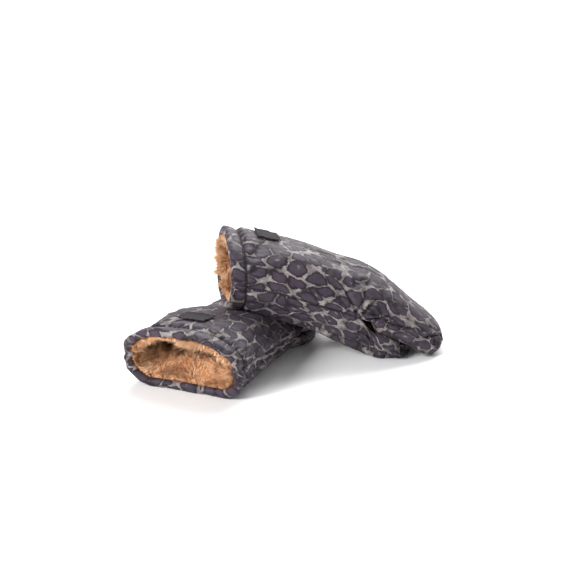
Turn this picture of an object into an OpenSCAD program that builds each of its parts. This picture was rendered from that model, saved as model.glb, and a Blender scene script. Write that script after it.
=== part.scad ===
// Pair of padded handlebar hand warmer muffs, one for each hand.
// Each muff is a tube of two padded panels: printed cloth outside, wadding between, plush pile inside.
// The hand goes in at the hemmed cuff. Past the side seams the panels hang free, and a handlebar
// passes between them; press studs close the long top flap over it.
// The lower muff lies on the floor along +Y. The upper one leans across it.

/* [Overall] */
// Width across the lower muff's cuff
cuff_width = 142.4; // [128:0.2:157]
// Height of the lower muff's open cuff
cuff_height = 81.5; // [73:0.5:90]
// Length of a top panel, from cuff edge to flap end
top_length = 300; // [270:1:330]
// Length of a bottom panel, from cuff edge to its free end
bottom_length = 250; // [225:1:262]
// Where the side seams stop and the handlebar slots start
slot_start = 176; // [165:1:190]

/* [Layers] */
// Printed outer cloth
shell_t = 1.2; // [0.8:0.1:1.6]
// Wadding between the cloth and the lining
wadding_t = 3.0; // [2:0.1:4]
// Plush lining, backing and pile together
lining_t = 5.0; // [3.5:0.1:6]
// Extra height of the loose plush on the lower cavity's floor
lining_loft = 26; // [0:1:28]
// Air left between neighbouring layers
layer_gap = 0.3; // [0.2:0.05:0.5]

/* [Cuff hem] */
// Width of the folded hem around the hand opening
hem_width = 15.4; // [11:0.2:19]
// Length of the thick roll at the lip of the hem
hem_roll = 7.5; // [5:0.5:9]
// Depth of the folded hem, through its turned-in cloth
hem_depth = 4.4; // [3:0.1:4.6]

/* [Label patch] */
// Length of the blank patch along the muff
label_length = 28;    // [18:0.5:34]
// Distance from the cuff edge to the patch
label_start = 35;     // [30:0.5:50]
// Half of the angle that the patch spans around the top
label_half_angle = 14; // [8:0.1:18]
// Thickness of the patch
label_t = 1.1; // [0.6:0.1:1.5]

/* [Press studs] */
// Diameter of a sewn press stud
stud_d = 13; // [10:0.5:15]
// Angle from the panel's middle line to each press stud
stud_angle = 38; // [25:1:50]

/* [Hidden] */

PRINT = [0.27, 0.24, 0.28];
PLUSH = [0.78, 0.55, 0.37];
FLEECE = [0.93, 0.92, 0.90];
THREAD = [0.12, 0.11, 0.13];
PATCH = [0.16, 0.16, 0.17];
FACING = [0.58, 0.55, 0.55];
STEEL = [0.72, 0.72, 0.74];

// Stations run along the panel, in millimetres from the cuff edge at full size.
S = [0, 50, 110, 160, 176, 198, 215, 232, 250, 275, 300];

// One muff: [yaw, centre, shear, top roundness, bottom roundness,
//            top line, top edge line, bottom edge line, bottom line, half width]
// Each line is a list of [along, height] pairs, one per station.
LOWER = [90, [0, 0], -4.3, 2.3, 3.2,
  [[-142.5, 79], [-87.3, 75.2], [-21, 65.8], [29.5, 51], [46, 45], [68, 36], [85, 30], [102, 26], [120, 24.5], [145, 23.5], [169.5, 22.5]],
  [[-130, 39], [-80, 36.5], [-20, 31], [29.5, 24.5], [46, 22], [68, 28.5], [85, 26.8],
   [102, 23.5], [120, 22], [145, 21], [169.5, 20]],
  [[-130, 39], [-80, 36.5], [-20, 31], [29.5, 24.5], [46, 20.5], [68, 7], [85, 3],
   [102, 2.3], [120, 2.2], [145, 2.2], [169.5, 2.2]],
  [[-117.5, -3.4], [-72.7, -3.2], [-19, -2.6], [29.5, -2], [46, -1.8], [68, -1.5], [85, -0.7],
   [102, -0.4], [120, -0.4], [145, -0.4], [169.5, -0.4]],
  [71.2, 72, 72.9, 73.8, 74.2, 74.5, 74.5, 74, 73.5, 72, 66]];

UPPER = [30, [-2.7, 22.6], 0, 2.15, 2.3,
  [[-6, 151], [42, 139], [100.5, 122.5], [145.7, 105.7], [160.2, 98.7], [179, 86], [191.7, 76], [204.5, 65], [218.7, 53.2], [240, 38], [254, 18]],
  [[-7, 104], [41, 93], [94, 75], [131, 61], [143, 56], [160, 52], [171, 48], [184, 41], [200, 31], [220, 15], [235, 4]],
  [[-7, 104], [41, 93], [94, 75], [131, 61], [143, 54.4], [158, 31], [169, 21],
   [181, 14], [192, 9], [217, 6], [241, 6]],
  [[-11, 61.4], [37, 51.2], [92, 33.5], [132, 12.5], [145, 6], [164, -1.5], [181, -1.5],
   [197, -1], [213, -0.5], [237, -0.5], [261, -0.5]],
  [69.5, 70.5, 71.5, 71.5, 71.2, 70.5, 70, 69.5, 68.5, 66, 58.5]];

kw = cuff_width / 142.4;
kh = cuff_height / 81.5;
kl = top_length / 300;
split = slot_start - 0.6;
flap_from = slot_start + 0.6;
d1 = shell_t;
d2 = d1 + layer_gap;
d3 = d2 + wadding_t;
d4 = d3 + layer_gap;
d5 = d4 + lining_t;
edge_in = 2.3;
body_from = hem_width + 1.2;
edging_from = slot_start + 14;
seam_gap = 0.45;

// Smooth curve through the stations
function seg(x, i = 0) = (i >= len(S) - 2 || x < S[i + 1]) ? i : seg(x, i + 1);
function slope(y, i) = let (n = len(S) - 1, a = max(i - 1, 0), b = min(i + 1, n))
  (y[b] - y[a]) / (S[b] - S[a]);
function herm(y, x) = let (i = seg(x), h = S[i + 1] - S[i], u = (x - S[i]) / h)
  y[i] * (1 + 2 * u) * (1 - u) * (1 - u) + slope(y, i) * h * u * (1 - u) * (1 - u)
  + y[i + 1] * u * u * (3 - 2 * u) - slope(y, i + 1) * h * u * u * (1 - u);

// How far a panel hangs free of the other one, from 0 at the slot's start to 1
function free(s) = let (u = min(max((s - slot_start - 5) / 30, 0), 1)) u * u * (3 - 2 * u);

// Outward normal of the top or bottom line
function nrm(y, s, up) = let (v = herm(y, s + 0.5) - herm(y, s - 0.5), n = norm(v))
  up ? [-v[1], v[0]] / n : [v[1], -v[0]] / n;

// A point of muff m: s along the panel, a around it from the near seam over the top,
// d below the outer surface, e in from the free edges, g away from the side seam
function pt(m, s, a, d, e = 0, g = 0) = let (
    up = sin(a) >= 0,
    n = up ? m[3] : m[4],
    c = cos(a), q = abs(sin(a)),
    r = pow(pow(abs(c), n) + pow(q, n), -1 / n),
    line = up ? m[5] : m[8],
    edge = up ? m[6] : m[7],
    o = nrm(line, s, up),
    t = free(s),
    p0 = herm(line, s) - d * o,
    e0 = herm(edge, s) - d * t * o + [0, up ? g : -g],
    p = e0 + (p0 - e0) * q * r,
    x = (herm(m[9], s) * kw - d * (1 - 0.7 * t) - e * min(max((s - slot_start) / 12, 0), 1)) * c * r,
    y = p[0] * kl + m[2] * min(max(1 - s / 120, 0), 1) * c * r,
    z = max(p[1] * kh, up ? 0.3 + 0.6 * d : d))
  [m[1][0] + y * cos(m[0]) + x * sin(m[0]), m[1][1] + y * sin(m[0]) - x * cos(m[0]), z];

// Two triangles for each square of a grid whose rows are c points long
function quad(a, b, c, d) = [[a, b, c], [a, c, d]];
function skin(r, c, base, flip) = [for (i = [0 : r - 2], j = [0 : c - 2])
  let (a = base + i * c + j, b = a + c)
  each flip ? quad(a, b, b + 1, a + 1) : quad(a, a + 1, b + 1, b)];

// A closed layer of a panel, between depths da and db
// Where the plush of the lower cavity stands up loosely, from 0 to 1
function swell(s, a) = let (u = min(max((s - 3) / 31, 0), 1), v = min(max((s - 58) / 42, 0), 1))
  u * u * (3 - 2 * u) * (1 - v * v * (3 - 2 * v)) * pow(abs(sin(a)), 0.8);

// The hem in section: a flat band with a thick roll at its lip
hem_profile = [[0, 0], [hem_width, 0], [hem_width, hem_depth], [hem_roll, hem_depth],
  [hem_roll, d5 - 0.3], [0, d5 - 0.3]];

module layer(m, s0, s1, a0, a1, da, db, e = 0, ns = 10, na = 14, g = 0, loft = 0) {
  r = ns + 1;
  c = na + 1;
  n = r * c;
  p = [for (k = [0, 1], i = [0 : ns], j = [0 : na])
    let (s = s0 + (s1 - s0) * i / ns, b = a0 + (a1 - a0) * j / na,
         d = k == 0 ? da : db + (loft == 0 ? 0 : loft * swell(s, b)))
    pt(m, s, b, d, e, g == 0 ? 0 : g + 0.06 * d)];
  sides = [for (i = [0 : ns - 1])
    let (a = i * c, b = a + c)
    each concat(quad(a, b, b + n, a + n), quad(b + na, a + na, a + na + n, b + na + n))];
  ends = [for (j = [0 : na - 1])
    let (a = j, b = ns * c + j)
    each concat(quad(a + 1, a, a + n, a + 1 + n), quad(b, b + 1, b + 1 + n, b + n))];
  polyhedron(p, concat(skin(r, c, 0, false), skin(r, c, n, true), sides, ends));
}

// A closed band right around the muff
module ring(m, k, n = 44) {
  c = len(k);
  p = [for (i = [0 : n - 1], v = k) pt(m, v[0], 360 * i / n + 0.01, v[1])];
  f = [for (i = [0 : n - 1], j = [0 : c - 1])
    let (a = i * c + j, b = i * c + (j + 1) % c, e = (a + c) % (c * n), d = (b + c) % (c * n))
    each quad(a, e, d, b)];
  polyhedron(p, f);
}

// A strip of cloth turned over the free edges of a panel: up one side, across the end, back
module edging(m, s0, s1, up, da, db) {
  w0 = 0.2;
  w1 = 1.2;
  ns = 8;
  na = 16;
  a0 = up ? 0 : 360;
  a1 = 180;
  rim = [for (w = [w0, w1]) concat(
    [for (i = [0 : ns - 1]) [s0 + (s1 - w - s0) * i / ns, a0, w]],
    [for (j = [0 : na]) [s1 - w, a0 + (a1 - a0) * j / na, w]],
    [for (i = [1 : ns]) [s1 - w + (s0 - s1 + w) * i / ns, a1, w]])];
  n = 2 * ns + na + 1;
  nudge = up ? 0.001 : -0.001;
  p = [for (i = [0 : n - 1], v = [[0, da], [1, da], [1, db], [0, db]])
    let (q = rim[v[0]][i])
    pt(m, q[0], q[1] == a0 ? a0 + nudge : q[1] == a1 ? a1 - nudge : q[1], v[1], q[2])];
  f = [for (i = [0 : n - 2], j = [0 : 3])
    let (a = i * 4 + j, b = i * 4 + (j + 1) % 4)
    each up ? quad(a, b, b + 4, a + 4) : quad(b, a, a + 4, b + 4)];
  caps = up
    ? concat(quad(3, 2, 1, 0), quad(4 * n - 4, 4 * n - 3, 4 * n - 2, 4 * n - 1))
    : concat(quad(0, 1, 2, 3), quad(4 * n - 1, 4 * n - 2, 4 * n - 3, 4 * n - 4));
  polyhedron(p, concat(f, caps));
}

module stitch(m, s0, s1, a0, a1, da, db) {
  layer(m, s0, s1, a0, a1, da, db, 0, 1, 1);
}

// Separate stitches all round the groove between the hem and the panels
module hem_stitches(m) {
  n = 60;
  for (i = [0 : n - 1])
    stitch(m, hem_width + 0.2, hem_width + 1.0, 360 * (i + 0.2) / n, 360 * (i + 0.8) / n, -0.1, 0.7);
}

module patch(m) {
  layer(m, label_start, label_start + label_length, 90 - label_half_angle, 90 + label_half_angle,
    -0.3 - label_t, -0.3, 0, 4, 4);
}

// Separate stitches along the four edges of the patch
module patch_stitches(m) {
  top = -0.3 - label_t;
  h = label_half_angle;
  for (i = [0 : 6], e = [-1, 1])
    let (s = label_start + 2.2 + (label_length - 7) * i / 6, a = 90 + e * (h - 1.5))
    stitch(m, s, s + 2.6, a - 0.25, a + 0.25, top - 0.5, top - 0.1);
  for (i = [0 : 7], e = [0, 1])
    let (s = label_start + 1.6 + e * (label_length - 3.8), a = 90 - h + 2.6 + (2 * h - 7.2) * i / 7)
    stitch(m, s, s + 0.6, a, a + 2, top - 0.5, top - 0.1);
}

// Lockstitched thread of the two side seams
module seam_threads(m) {
  for (a = [0, 180])
    layer(m, body_from + 0.4, split - 4, a - 0.25, a + 0.25, 0.3, 0.9, 0, 10, 1);
}

// Places a round fastener on the inner face of a panel, its axis square to the panel.
// Both muffs' inner faces are reached with depth d.
module on_face(m, s, a, d) {
  o = pt(m, s, a, d);
  u = pt(m, s + 2, a, d) - pt(m, s - 2, a, d);
  v = pt(m, s, a + 2, d) - pt(m, s, a - 2, d);
  w = cross(v, u) / norm(cross(v, u));
  translate(o)
    rotate([0, acos(w[2]), atan2(w[1], w[0])])
      children();
}

// Socket half: a disc with a round hole for the ball
module stud_socket() {
  rotate_extrude($fn = 24)
    polygon([[2.3, 0], [stud_d / 2, 0], [stud_d / 2, 0.7], [4.4, 2.2], [2.3, 2.2]]);
}

// Ball half: a disc with a raised, necked ball
module stud_ball() {
  rotate_extrude($fn = 24)
    polygon([[0, 0], [stud_d / 2, 0], [stud_d / 2, 0.7], [2.8, 1.1], [1.7, 1.7], [2.1, 2.5],
      [1.6, 3.2], [0, 3.4]]);
}

module sockets(m) {
  for (a = [90 - stud_angle, 90 + stud_angle])
    on_face(m, top_length - 26, a, d5 + 2.1) stud_socket();
}

module balls(m) {
  for (a = [270 - stud_angle, 270 + stud_angle])
    on_face(m, bottom_length - 16, a, d5 + 1.1) stud_ball();
}

module top_layer(m, da, db) { layer(m, body_from, split, 0.01, 179.99, da, db, g = seam_gap); }
module bottom_layer(m, da, db, e, cut) {
  layer(m, body_from, bottom_length - cut, 180.01, 359.99, da, db, e, 14, 14, seam_gap);
}
module flap_layer(m, da, db, e, cut) {
  layer(m, flap_from, top_length - cut, 0.1, 179.9, da, db, e, 9, 14);
}

module lower_cuff_hem() { color(PRINT) ring(LOWER, hem_profile); }
module lower_hem_stitching() { color(THREAD) hem_stitches(LOWER); }
module lower_top_shell() { color(PRINT) top_layer(LOWER, 0, d1); }
module lower_bottom_shell() { color(PRINT) bottom_layer(LOWER, 0, d1, 0, 0); }
module lower_top_wadding() { color(FLEECE) top_layer(LOWER, d2, d3); }
module lower_bottom_wadding() { color(FLEECE) bottom_layer(LOWER, d2, d3, edge_in, edge_in); }
module lower_top_lining() { color(PLUSH) lining_top(LOWER, lining_loft / 5); }
module lower_bottom_lining() { color(PLUSH) lining_bottom(LOWER, lining_loft); }
module lower_label() { color(PATCH) patch(LOWER); }
module lower_label_stitching() { color(THREAD) patch_stitches(LOWER); }
module lower_seam_thread() { color(THREAD) seam_threads(LOWER); }
module lower_bottom_facing() { color(FACING) edging(LOWER, edging_from, bottom_length, false, d2 + 0.5, d5 - 0.4); }
module lower_stud_balls() { color(STEEL) balls(LOWER); }
module lower_flap_shell() { color(PRINT) flap_layer(LOWER, 0, d1, 0, 0); }
module lower_flap_wadding() { color(FLEECE) flap_layer(LOWER, d2, d3, edge_in, edge_in); }
module lower_flap_lining() { color(PLUSH) flap_layer(LOWER, d4, d5, edge_in, edge_in); }
module lower_flap_facing() { color(FACING) edging(LOWER, edging_from, top_length, true, d2 + 0.5, d5 - 0.4); }
module lower_stud_sockets() { color(STEEL) sockets(LOWER); }

module upper_cuff_hem() { color(PRINT) ring(UPPER, hem_profile); }
module upper_hem_stitching() { color(THREAD) hem_stitches(UPPER); }
module upper_top_shell() { color(PRINT) top_layer(UPPER, 0, d1); }
module upper_bottom_shell() { color(PRINT) bottom_layer(UPPER, 0, d1, 0, 0); }
module upper_top_wadding() { color(FLEECE) top_layer(UPPER, d2, d3); }
module upper_bottom_wadding() { color(FLEECE) bottom_layer(UPPER, d2, d3, edge_in, edge_in); }
module upper_top_lining() { color(PLUSH) lining_top(UPPER); }
module upper_bottom_lining() { color(PLUSH) lining_bottom(UPPER); }
module upper_label() { color(PATCH) patch(UPPER); }
module upper_label_stitching() { color(THREAD) patch_stitches(UPPER); }
module upper_seam_thread() { color(THREAD) seam_threads(UPPER); }
module upper_bottom_facing() { color(FACING) edging(UPPER, edging_from, bottom_length, false, d2 + 0.5, d5 - 0.4); }
module upper_stud_balls() { color(STEEL) balls(UPPER); }
module upper_flap_shell() { color(PRINT) flap_layer(UPPER, 0, d1, 0, 0); }
module upper_flap_wadding() { color(FLEECE) flap_layer(UPPER, d2, d3, edge_in, edge_in); }
module upper_flap_lining() { color(PLUSH) flap_layer(UPPER, d4, d5, edge_in, edge_in); }
module upper_flap_facing() { color(FACING) edging(UPPER, edging_from, top_length, true, d2 + 0.5, d5 - 0.4); }
module upper_stud_sockets() { color(STEEL) sockets(UPPER); }

// The lining starts just inside the hem's mouth.
module lining_top(m, loft = 0) {
  layer(m, hem_roll + 0.8, split, 0.01, 179.99, d4 + 0.5, d5, 0, 11, 14, seam_gap, loft);
}
module lining_bottom(m, loft = 0) {
  layer(m, hem_roll + 0.8, bottom_length - edge_in, 180.01, 359.99, d4 + 0.5, d5, edge_in, 15, 14, seam_gap, loft);
}

lower_cuff_hem();
lower_hem_stitching();
lower_top_shell();
lower_bottom_shell();
lower_top_wadding();
lower_bottom_wadding();
lower_top_lining();
lower_bottom_lining();
lower_label();
lower_label_stitching();
lower_seam_thread();
lower_bottom_facing();
lower_stud_balls();
lower_flap_shell();
lower_flap_wadding();
lower_flap_lining();
lower_flap_facing();
lower_stud_sockets();
upper_cuff_hem();
upper_hem_stitching();
upper_top_shell();
upper_bottom_shell();
upper_top_wadding();
upper_bottom_wadding();
upper_top_lining();
upper_bottom_lining();
upper_label();
upper_label_stitching();
upper_seam_thread();
upper_bottom_facing();
upper_stud_balls();
upper_flap_shell();
upper_flap_wadding();
upper_flap_lining();
upper_flap_facing();
upper_stud_sockets();
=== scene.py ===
"""Looks for a pair of padded handlebar hand warmer muffs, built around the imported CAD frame."""
import math

import bpy
import numpy as np
from mathutils import Matrix

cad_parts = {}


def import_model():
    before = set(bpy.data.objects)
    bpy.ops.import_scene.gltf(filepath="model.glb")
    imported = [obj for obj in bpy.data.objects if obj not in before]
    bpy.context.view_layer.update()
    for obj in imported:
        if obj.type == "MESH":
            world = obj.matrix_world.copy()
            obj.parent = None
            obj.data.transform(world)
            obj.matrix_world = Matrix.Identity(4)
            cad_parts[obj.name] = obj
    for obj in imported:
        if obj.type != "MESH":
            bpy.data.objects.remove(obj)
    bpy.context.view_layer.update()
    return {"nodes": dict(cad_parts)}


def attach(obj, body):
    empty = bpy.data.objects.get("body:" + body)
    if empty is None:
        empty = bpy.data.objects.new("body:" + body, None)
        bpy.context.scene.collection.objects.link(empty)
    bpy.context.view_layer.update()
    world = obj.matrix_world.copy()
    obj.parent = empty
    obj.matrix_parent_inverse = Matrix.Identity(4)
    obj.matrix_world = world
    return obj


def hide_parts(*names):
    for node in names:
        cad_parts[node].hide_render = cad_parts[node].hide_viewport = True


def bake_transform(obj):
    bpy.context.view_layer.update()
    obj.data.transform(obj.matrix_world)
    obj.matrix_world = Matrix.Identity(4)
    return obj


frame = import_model()
MM = 0.001

# ------------------------------------------------------------------ the muffs' shape, in millimetres
STATIONS = np.array([0, 50, 110, 160, 176, 198, 215, 232, 250, 275, 300], float)
LOWER = dict(
    name="lower", yaw=90, centre=(0, 0), shear=-4.3, top_n=2.3, bottom_n=3.2, bend_reach=18,
    top=[[-142.5, 79], [-87.3, 75.2], [-21, 65.8], [29.5, 51], [46, 45], [68, 36], [85, 30],
         [102, 26], [120, 24.5], [145, 23.5], [169.5, 22.5]],
    top_edge=[[-130, 39], [-80, 36.5], [-20, 31], [29.5, 24.5], [46, 22], [68, 28.5], [85, 26.8],
              [102, 23.5], [120, 22], [145, 21], [169.5, 20]],
    bottom_edge=[[-130, 39], [-80, 36.5], [-20, 31], [29.5, 24.5], [46, 20.5], [68, 7], [85, 3],
                 [102, 2.3], [120, 2.2], [145, 2.2], [169.5, 2.2]],
    bottom=[[-117.5, -3.4], [-72.7, -3.2], [-19, -2.6], [29.5, -2], [46, -1.8], [68, -1.5],
            [85, -0.7], [102, -0.4], [120, -0.4], [145, -0.4], [169.5, -0.4]],
    half_width=[71.2, 72, 72.9, 73.8, 74.2, 74.5, 74.5, 74, 73.5, 72, 66])
UPPER = dict(
    name="upper", yaw=30, centre=(-2.7, 22.6), shear=0, top_n=2.15, bottom_n=2.3, bend_reach=26,
    top=[[-6, 151], [42, 139], [100.5, 122.5], [145.7, 105.7], [160.2, 98.7], [179, 86], [191.7, 76],
         [204.5, 65], [218.7, 53.2], [240, 38], [254, 18]],
    top_edge=[[-7, 104], [41, 93], [94, 75], [131, 61], [143, 56], [160, 52], [171, 48],
              [184, 41], [200, 31], [220, 15], [235, 4]],
    bottom_edge=[[-7, 104], [41, 93], [94, 75], [131, 61], [143, 54.4], [158, 31], [169, 21],
                 [181, 14], [192, 9], [217, 6], [241, 6]],
    bottom=[[-11, 61.4], [37, 51.2], [92, 33.5], [132, 12.5], [145, 6], [164, -1.5],
            [181, -1.5], [197, -1], [213, -0.5], [237, -0.5], [261, -0.5]],
    half_width=[69.5, 70.5, 71.5, 71.5, 71.2, 70.5, 70, 69.5, 68.5, 66, 58.5])
SLOT = 176.0            # where the side seams stop, from the cuff
HEM = 15.4              # width of the hem
DEPTH = 9.8             # thickness of all the layers together
PANEL_START = {"top": 0.0, "bottom": 180.0}     # angle at which each panel starts
PANEL_END = {"top": 300.0, "bottom": 250.0}     # where each panel ends, from the cuff
ROUNDING = {"top": 5, "bottom": 22}             # radius of the corners at each panel's free end
GRID_S = np.arange(0, 302.0)                    # places of the fields' values: every millimetre
GRID_A = np.arange(0, 181.0)                    # and every degree
SLOT_SHADE_FROM, SLOT_SHADE_TO = SLOT - 50, SLOT - 12       # over this length the plush turns near black, as painted shade inside the slots


def herm(y, x):
    """Smooth curve through the stations."""
    y, xs = np.asarray(y, float), STATIONS
    m = np.zeros_like(y)
    m[1:-1] = ((y[2:] - y[:-2]).T / (xs[2:] - xs[:-2])).T
    m[0] = (y[1] - y[0]) / (xs[1] - xs[0])
    m[-1] = (y[-1] - y[-2]) / (xs[-1] - xs[-2])
    i = np.clip(np.searchsorted(xs, x, side="right") - 1, 0, len(xs) - 2)
    h = xs[i + 1] - xs[i]
    u = (x - xs[i]) / h
    if y.ndim == 2:
        h, u = h[..., None], u[..., None]
    return (y[i] * (1 + 2 * u) * (1 - u) ** 2 + h * m[i] * u * (1 - u) ** 2
            + y[i + 1] * u * u * (3 - 2 * u) - h * m[i + 1] * u * u * (1 - u))


def smooth(x, lo, hi):
    """Soft step from 0 at lo to 1 at hi."""
    u = np.clip((x - lo) / (hi - lo), 0, 1)
    return u * u * (3 - 2 * u)


def free(s):
    """How far a panel hangs free: 0 up to the slots, 1 well past their start."""
    return smooth(s, SLOT + 5, SLOT + 35)


def swell(s, a):
    """Where the plush of the lower cavity stands up loosely."""
    return smooth(s, 3, 34) * (1 - smooth(s, 58, 100)) * np.abs(np.sin(np.radians(a))) ** 0.8


def corner(s, end, radius):
    """Inset that rounds the two corners at a panel's free end."""
    u = np.clip((s - (end - radius)) / radius, 0, 1)
    return radius * (1 - np.sqrt(np.maximum(1 - u * u, 0)))


def section(m, s, a, d=0.0, e=0.0):
    """Point of the muff: s along, a around, d below the outer surface, e in from free edges."""
    s, a, d, e = np.broadcast_arrays(*[np.asarray(v, float) for v in (s, a, d, e)])
    c, q = np.cos(np.radians(a)), np.sin(np.radians(a))
    up = q >= 0
    n = np.where(up, m["top_n"], m["bottom_n"])
    r = (np.abs(c) ** n + np.abs(q) ** n) ** (-1 / n)

    def line(k, x):
        return np.where(up[..., None], herm(m["top" + k], x), herm(m["bottom" + k], x))
    tangent = line("", s + 0.5) - line("", s - 0.5)
    tangent /= np.linalg.norm(tangent, axis=-1, keepdims=True)
    out = np.stack([-tangent[..., 1], tangent[..., 0]], -1) * np.where(up, 1, -1)[..., None]
    t = free(s)
    p0 = line("", s) - d[..., None] * out
    e0 = line("_edge", s) - (d * t)[..., None] * out
    p = e0 + (p0 - e0) * (np.abs(q) * r)[..., None]
    x = (herm(m["half_width"], s) - d * (1 - 0.7 * t) - e) * c * r
    y = p[..., 0] + m["shear"] * np.clip(1 - s / 120, 0, 1) * c * r
    w = math.radians(m["yaw"])
    return np.stack([m["centre"][0] + y * math.cos(w) + x * math.sin(w),
                     m["centre"][1] + y * math.sin(w) - x * math.cos(w),
                     np.maximum(p[..., 1], np.where(up, 0.3 + 0.6 * d, d))], -1)


def directions(m):
    """Unit vectors along the muff and across it."""
    w = math.radians(m["yaw"])
    return np.array([math.cos(w), math.sin(w), 0]), np.array([math.sin(w), -math.cos(w), 0])


# ------------------------------------------------------------------ grids and meshes
def add_object(name, data):
    """Object in the scene that shows this mesh, light or camera."""
    ob = bpy.data.objects.new(name, data)
    bpy.context.scene.collection.objects.link(ob)
    return ob


def new_mesh(name, verts, faces, attributes=()):
    """Mesh from points in millimetres, with smooth faces and named point attributes."""
    me = bpy.data.meshes.new(name)
    me.from_pydata([tuple(v) for v in np.asarray(verts) * MM], [], faces)
    me.update()
    for key, values in attributes:
        values = np.asarray(values, np.float32)
        kind = "FLOAT_VECTOR" if values.ndim == 2 else "FLOAT"
        at = me.attributes.new(key, kind, "POINT")
        at.data.foreach_set("vector" if values.ndim == 2 else "value", values.ravel())
    ob = add_object(name, me)
    me.polygons.foreach_set("use_smooth", [True] * len(me.polygons))
    return ob


def grid_faces(r, c, base=0, flip=False, wrap=False):
    """Quads of an r by c sheet of points."""
    i, j = np.meshgrid(np.arange(r - 1), np.arange(c if wrap else c - 1), indexing="ij")
    k = (j + 1) % c
    f = np.stack([i * c + j, (i + 1) * c + j, (i + 1) * c + k, i * c + k], -1).reshape(-1, 4) + base
    return (f[:, ::-1] if flip else f).tolist()


def closed_faces(r, c):
    """Faces of two r by c sheets, one above the other and joined all round."""
    count = r * c
    faces = grid_faces(r, c) + grid_faces(r, c, count, True)
    index = np.arange(count).reshape(r, c)
    ring = np.concatenate([index[0, :], index[1:, -1], index[-1, -2::-1], index[-2:0:-1, 0]])
    for p, q in zip(ring, np.roll(ring, -1)):
        faces.append([int(p), int(q), int(q + count), int(p + count)])
    return faces


def cubic_weights(n, x):
    """Catmull-Rom weights that read n samples at the places x."""
    x = np.clip(np.asarray(x, float), 0, n - 1 - 1e-6)
    i = x.astype(int)
    u = x - i
    w = np.zeros((len(x), n))
    parts = [-0.5 * u + u ** 2 - 0.5 * u ** 3, 1 - 2.5 * u ** 2 + 1.5 * u ** 3,
             0.5 * u + 2 * u ** 2 - 1.5 * u ** 3, -0.5 * u ** 2 + 0.5 * u ** 3]
    for k, part in enumerate(parts):
        np.add.at(w, (np.arange(len(x)), np.clip(i + k - 1, 0, n - 1)), part)
    return w


def lattice(rng, s, a, cell_s, cell_a, channels=None):
    """Smooth random field on a grid of s by a, with cells of that size."""
    ns, na = int(s.max() / cell_s) + 4, int((a.max() - a.min()) / cell_a) + 4
    shape = (ns, na) if channels is None else (ns, na, channels)
    r = rng.uniform(-1, 1, shape)
    ws = cubic_weights(ns, s / cell_s + 1)
    wa = cubic_weights(na, (a - a.min()) / cell_a + 1)
    return np.einsum("is,st...,jt->ij...", ws, r, wa)


class Field:
    """Values on a fine grid of s (1 mm) by a (1 degree), read anywhere between."""

    def __init__(self, values, a0):
        self.v, self.a0 = values, a0

    def __call__(self, s, a):
        x = np.clip(s, 0, self.v.shape[0] - 1.001)
        y = np.clip(a - self.a0, 0, self.v.shape[1] - 1.001)
        i, j = x.astype(int), y.astype(int)
        u, w = x - i, y - j
        if self.v.ndim == 3:
            u, w = u[..., None], w[..., None]
        return ((self.v[i, j] * (1 - u) + self.v[i + 1, j] * u) * (1 - w)
                + (self.v[i, j + 1] * (1 - u) + self.v[i + 1, j + 1] * u) * w)


def normals(p):
    """Unit normals of a grid of points."""
    ds, da = np.gradient(p, axis=0), np.gradient(p, axis=1)
    n = np.cross(ds, da)
    return n / np.maximum(np.linalg.norm(n, axis=-1, keepdims=True), 1e-9)


# ------------------------------------------------------------------ cloth simulation of a sewn panel
def relax(name, p, pin, grow, pressure, frames=22, scale=10):
    """Lets a panel with extra cloth in it buckle between its sewn, pinned edges."""
    r, c = p.shape[:2]
    me = bpy.data.meshes.new(name)
    me.from_pydata([tuple(v) for v in p.reshape(-1, 3) * MM * scale], [], grid_faces(r, c))
    me.update()
    ob = add_object(name, me)
    group = ob.vertex_groups.new(name="pin")
    for k, w in enumerate(pin.ravel()):
        if w > 0:
            group.add([k], float(w), "REPLACE")
    mod = ob.modifiers.new("cloth", "CLOTH")
    st = mod.settings
    st.quality, st.mass, st.air_damping = 6, 0.25, 4
    st.tension_stiffness = st.compression_stiffness = 18
    st.shear_stiffness, st.bending_stiffness = 8, 1.5
    st.vertex_group_mass, st.pin_stiffness = "pin", 1
    st.shrink_min = -grow
    st.use_pressure, st.uniform_pressure_force = True, pressure
    st.effector_weights.gravity = 0
    mod.collision_settings.use_collision = False
    mod.collision_settings.use_self_collision = False
    scene = bpy.context.scene
    for f in range(1, frames + 1):
        scene.frame_set(f)
    got = ob.evaluated_get(bpy.context.evaluated_depsgraph_get()).data
    co = np.zeros(len(got.vertices) * 3)
    got.vertices.foreach_get("co", co)
    out = co.reshape(r, c, 3) / (MM * scale) - p
    bpy.data.objects.remove(ob)
    scene.frame_set(1)
    return out


# Creases, each a soft valley: start (s, a), end (s, a), width and depth in millimetres
UPPER_CREASES = [
    ((156, 7), (208, 13), 1.5, 1.9), ((181, 2), (206, 8), 1.7, 2.2), ((203, 8), (238, 5), 1.8, 2.0),
    ((168, 3), (150, 24), 3.0, 2.6), ((150, 24), (141, 38), 4.5, 1.3),
    ((160, 5), (136, 20), 4.6, 1.5), ((139, 34), (126, 50), 6.5, 1.1),
    ((152, 40), (176, 52), 6.0, 1.2),
    ((176, 9), (186, 32), 3.0, 2.0), ((172, 12), (170, 46), 4.5, 1.6),
    ((192, 5), (214, 17), 2.2, 2.2), ((222, 4), (250, 20), 2.4, 1.8),
    ((268, 21), (286, 43), 2.2, 2.6), ((288, 18), (268, 46), 2.2, 2.6),
    ((282, 58), (297, 40), 2.4, 1.5), ((270, 112), (290, 138), 2.8, 1.1),
    ((290, 110), (268, 140), 2.8, 1.1), ((200, 60), (215, 100), 5, 1.0),
    ((96, 78), (150, 84), 3.0, 0.8), ((120, 66), (190, 76), 2.6, 0.8),
    ((140, 92), (214, 98), 3.0, 0.8)]
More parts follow.
